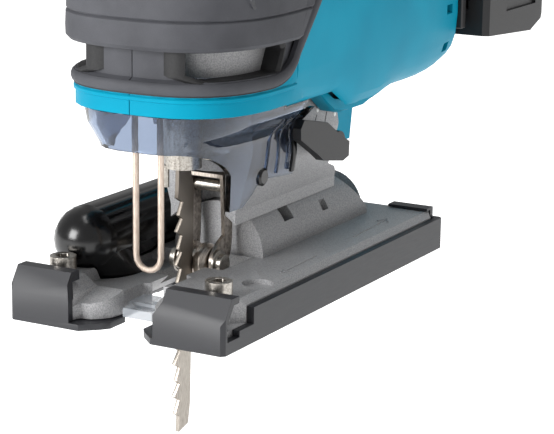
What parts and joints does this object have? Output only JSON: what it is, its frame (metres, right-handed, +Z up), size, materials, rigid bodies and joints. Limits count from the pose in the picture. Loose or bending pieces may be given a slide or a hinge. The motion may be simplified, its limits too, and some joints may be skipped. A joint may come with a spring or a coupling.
{
  "type": "jigsaw power tool",
  "caption": "Cordless jigsaw with D handle, tilting shoe plate, reciprocating blade with guide roller, clear chip cover, dust nozzle and sliding battery pack.",
  "frame": {"origin": "middle of the sole, on the tool's centreline, where the shoe rests on the workpiece", "axes": "+Z up away from the workpiece, -Y the way the blade cuts, +X the tool's left side"},
  "size_m": [0.0787, 0.2445, 0.2497],
  "materials": {
    "cast_aluminium": "sand-cast and painted silver",
    "shoe_plastic": "moulded, dark grey",
    "zinc_steel": "zinc plated",
    "nozzle_plastic": "glossy black",
    "clear_plastic": "smoked clear plastic",
    "teal_plastic": "satin teal",
    "grip_rubber": "moulded dark grey",
    "nickel_wire": "nickel plated, satin",
    "steel": "ground",
    "blade_steel": "rolled and set",
    "dark_steel": "blackened",
    "motor_copper": "wound and varnished",
    "black_plastic": "moulded black",
    "circuit_board": "lacquered board",
    "cell_wrap": "plastic sleeve",
    "button_plastic": "moulded grey"
  },
  "bodies": {
    "base": {"base_plate": "cast_aluminium", "base_shoe": "shoe_plastic", "prong_bolt_right": "zinc_steel", "prong_bolt_left": "zinc_steel", "dust_nozzle": "nozzle_plastic", "splinter_guard": "clear_plastic"},
    "machine": {"housing_right": "teal_plastic", "housing_left": "teal_plastic", "head_rubber_right": "grip_rubber", "head_rubber_left": "grip_rubber", "grip_rubber_right": "grip_rubber", "grip_rubber_left": "grip_rubber", "gear_case": "cast_aluminium", "bevel_bolt": "zinc_steel", "fork_pin": "zinc_steel", "wire_guard": "nickel_wire", "stator": "dark_steel", "front_bearing": "steel", "rear_bearing": "steel", "brush_holder": "black_plastic", "switch_unit": "black_plastic", "control_board": "circuit_board", "lamp": "clear_plastic", "battery_mount": "black_plastic"},
    "rotor": {"rotor_shaft": "steel", "rotor_core": "motor_copper", "fan": "black_plastic"},
    "wheel": {"crank_wheel": "steel"},
    "guide": {"plunger_guide": "dark_steel"},
    "plunger": {"plunger": "steel", "blade": "blade_steel"},
    "clamp": {"clamp_sleeve": "zinc_steel"},
    "fork": {"fork": "steel", "roller_pin": "zinc_steel"},
    "roller": {"roller": "steel"},
    "lever": {"change_lever": "black_plastic", "lever_shaft": "zinc_steel"},
    "cover": {"clear_cover": "clear_plastic"},
    "trigger": {"trigger": "black_plastic"},
    "lock_button": {"lock_button": "black_plastic"},
    "dial": {"speed_dial": "black_plastic"},
    "battery": {"battery_case": "black_plastic", "cell_block": "cell_wrap"},
    "battery_button": {"battery_button": "button_plastic"}
  },
  "joints": [
    {"name": "bevel_tilt", "type": "hinge", "parent": "base", "child": "machine", "pos_m": [0, 0, 0.0136], "axis": [0, 1, 0], "range_deg": [0, 45]},
    {"name": "rotor_spin", "type": "hinge", "parent": "machine", "child": "rotor", "pos_m": [0, 0, 0.09], "axis": [0, 1, 0], "continuous": true},
    {"name": "wheel_spin", "type": "hinge", "parent": "machine", "child": "wheel", "pos_m": [0, 0, 0.112], "axis": [0, 1, 0], "continuous": true},
    {"name": "orbit_swing", "type": "hinge", "parent": "machine", "child": "fork", "pos_m": [0, -0.0195, 0.0365], "axis": [-1, 0, 0], "range_deg": [0, 4]},
    {"name": "guide_swing", "type": "hinge", "parent": "machine", "child": "guide", "pos_m": [0, -0.0365, 0.1348], "axis": [-1, 0, 0], "range_deg": [0, 0.78]},
    {"name": "plunger_stroke", "type": "slide", "parent": "guide", "child": "plunger", "axis": [0, 0, 1], "range_m": [-0.013, 0.013]},
    {"name": "clamp_turn", "type": "hinge", "parent": "plunger", "child": "clamp", "pos_m": [0, -0.0365, 0.05], "axis": [0, 0, -1], "range_deg": [0, 60], "stiffness_Nm_per_rad": 0.15},
    {"name": "roller_spin", "type": "hinge", "parent": "fork", "child": "roller", "pos_m": [0, -0.0266, 0.0129], "axis": [1, 0, 0], "continuous": true},
    {"name": "action_lever", "type": "hinge", "parent": "machine", "child": "lever", "pos_m": [0, 0.0195, 0.0459], "axis": [-1, 0, 0], "range_deg": [0, 90]},
    {"name": "cover_pull", "type": "slide", "parent": "machine", "child": "cover", "axis": [0, -1, 0], "range_m": [0, 0.014]},
    {"name": "trigger_pull", "type": "slide", "parent": "machine", "child": "trigger", "axis": [0, 0, 1], "range_m": [0, 0.006], "stiffness_N_per_m": 700, "springref_m": -0.001},
    {"name": "lock_push", "type": "slide", "parent": "machine", "child": "lock_button", "axis": [-1, 0, 0], "range_m": [0, 0.004], "stiffness_N_per_m": 700, "springref_m": -0.001},
    {"name": "dial_turn", "type": "hinge", "parent": "machine", "child": "dial", "pos_m": [0, -0.0252, 0.1919], "axis": [1, 0, 0], "range_deg": [0, 300]},
    {"name": "battery_slide", "type": "slide", "parent": "machine", "child": "battery", "axis": [0, 0, -1], "range_m": [0, 0.06]},
    {"name": "battery_release", "type": "slide", "parent": "battery", "child": "battery_button", "axis": [0, 1, 0], "range_m": [0, 0.003], "stiffness_N_per_m": 700, "springref_m": -0.001}
  ],
  "couplings": [
    {"joint": "wheel_spin", "follows": "rotor_spin", "ratio": -0.225},
    {"joint": "guide_swing", "follows": "orbit_swing", "ratio": 0.194}
  ]
}
